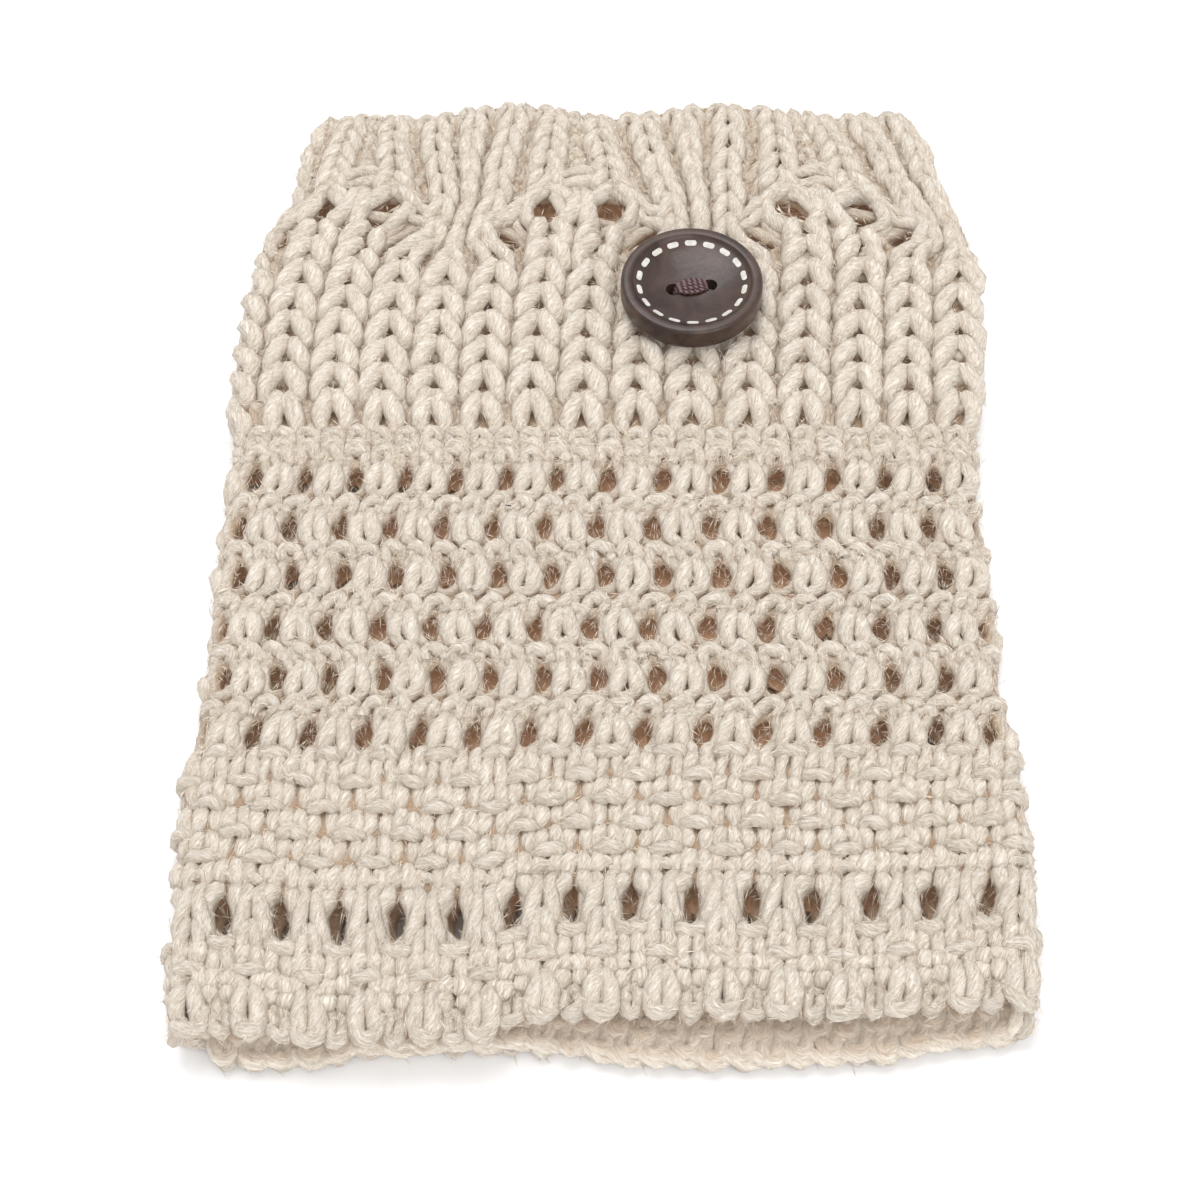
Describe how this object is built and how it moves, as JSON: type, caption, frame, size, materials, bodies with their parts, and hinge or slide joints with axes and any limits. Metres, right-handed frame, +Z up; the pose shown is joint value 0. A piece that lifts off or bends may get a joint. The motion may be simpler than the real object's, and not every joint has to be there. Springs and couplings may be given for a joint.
{
  "type": "leg warmer",
  "caption": "Short knitted leg warmer laid flat, a cream tube with a lace trim, chunky ribs, eyelet rows, a woven-look band and hem, and a dark button sewn on.",
  "frame": {"origin": "middle of the surface it lies on, under the middle of its box", "axes": "+Z up from the surface, +Y from the hem towards the lace trim, +X to the right seen from the hem"},
  "size_m": [0.1292, 0.1882, 0.0143],
  "materials": {
    "yarn": "matte, soft twisted yarn",
    "button": "semi-gloss, dark brown with white dashes",
    "thread": "matte sewing thread"
  },
  "bodies": {
    "root": {"knit_front": "yarn", "knit_back": "yarn", "button": "button", "button_thread": "thread"}
  },
  "joints": []
}
